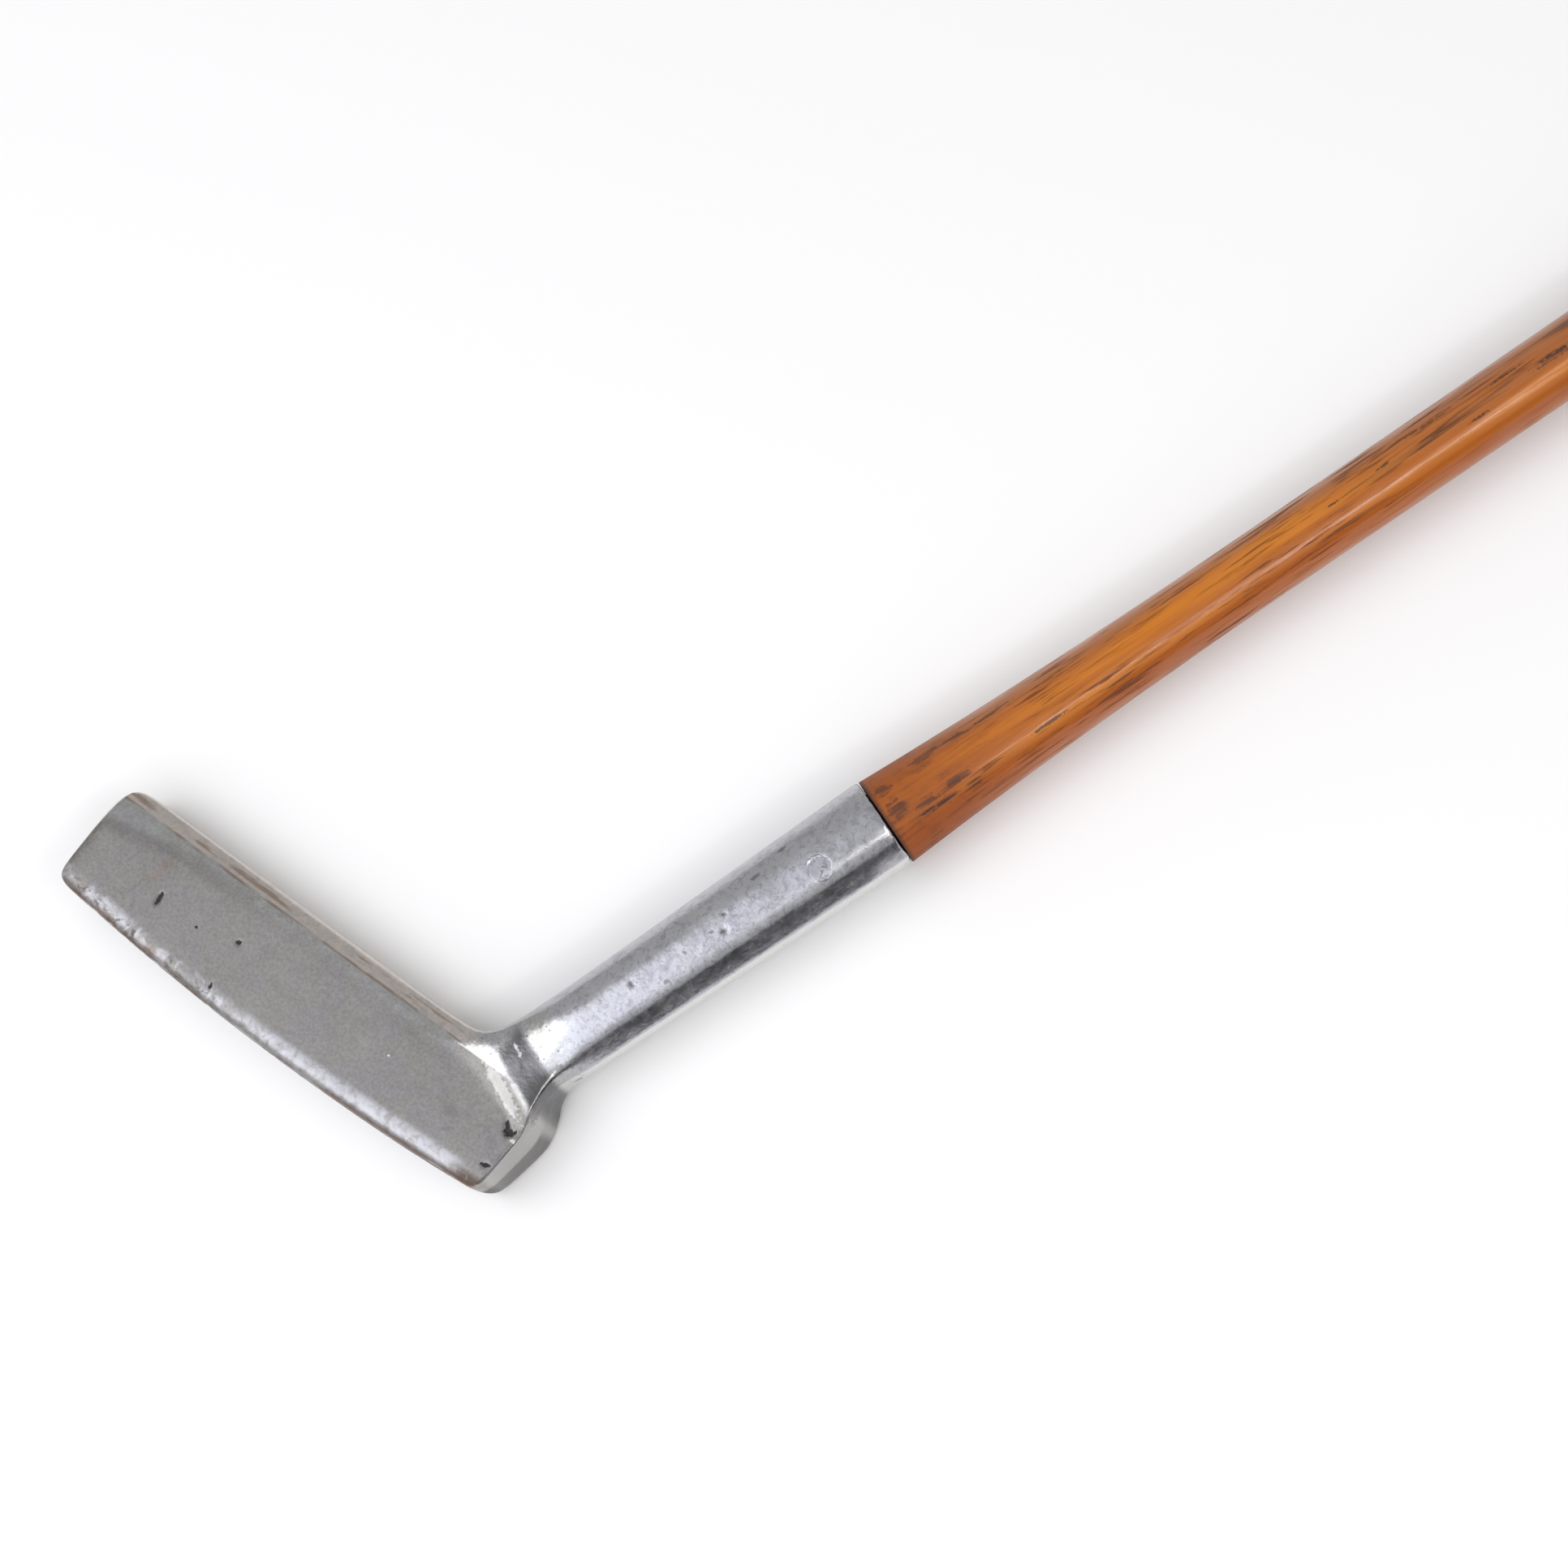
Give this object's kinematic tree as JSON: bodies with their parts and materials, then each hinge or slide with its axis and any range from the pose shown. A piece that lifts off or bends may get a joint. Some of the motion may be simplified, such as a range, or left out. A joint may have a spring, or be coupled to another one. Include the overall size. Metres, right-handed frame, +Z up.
{
  "type": "golf putter",
  "caption": "Right-handed golf putter: a long metal blade with an integral neck and tapered hosel on a turned wooden shaft, with a wound leather grip.",
  "frame": {"origin": "on the floor, under the middle of the club's bounding box, with the club lying face up at rest", "axes": "+X along the shaft to the butt, +Z up out of the striking face, +Y to the toe of the blade; the shaft rises 0.4 degrees from level"},
  "size_m": [0.9172, 0.1038, 0.0275],
  "materials": {
    "plated_metal": "satin grey, worn, with pits, rust specks and a chipped sole edge",
    "pin_steel": "dark, filed almost flush",
    "hickory": "orange-brown varnished hickory with fine dark grain",
    "cloth": "plain woven tape",
    "leather": "dark brown, worn smooth",
    "waxed_thread": "black waxed thread",
    "tack_brass": "dull, domed head"
  },
  "bodies": {
    "root": {"putter_head": "plated_metal", "hosel_pin": "pin_steel", "shaft": "hickory", "underlisting": "cloth", "leather_grip": "leather", "lower_whipping": "waxed_thread", "butt_whipping": "waxed_thread", "lower_tack": "tack_brass", "butt_tack": "tack_brass"}
  },
  "joints": []
}
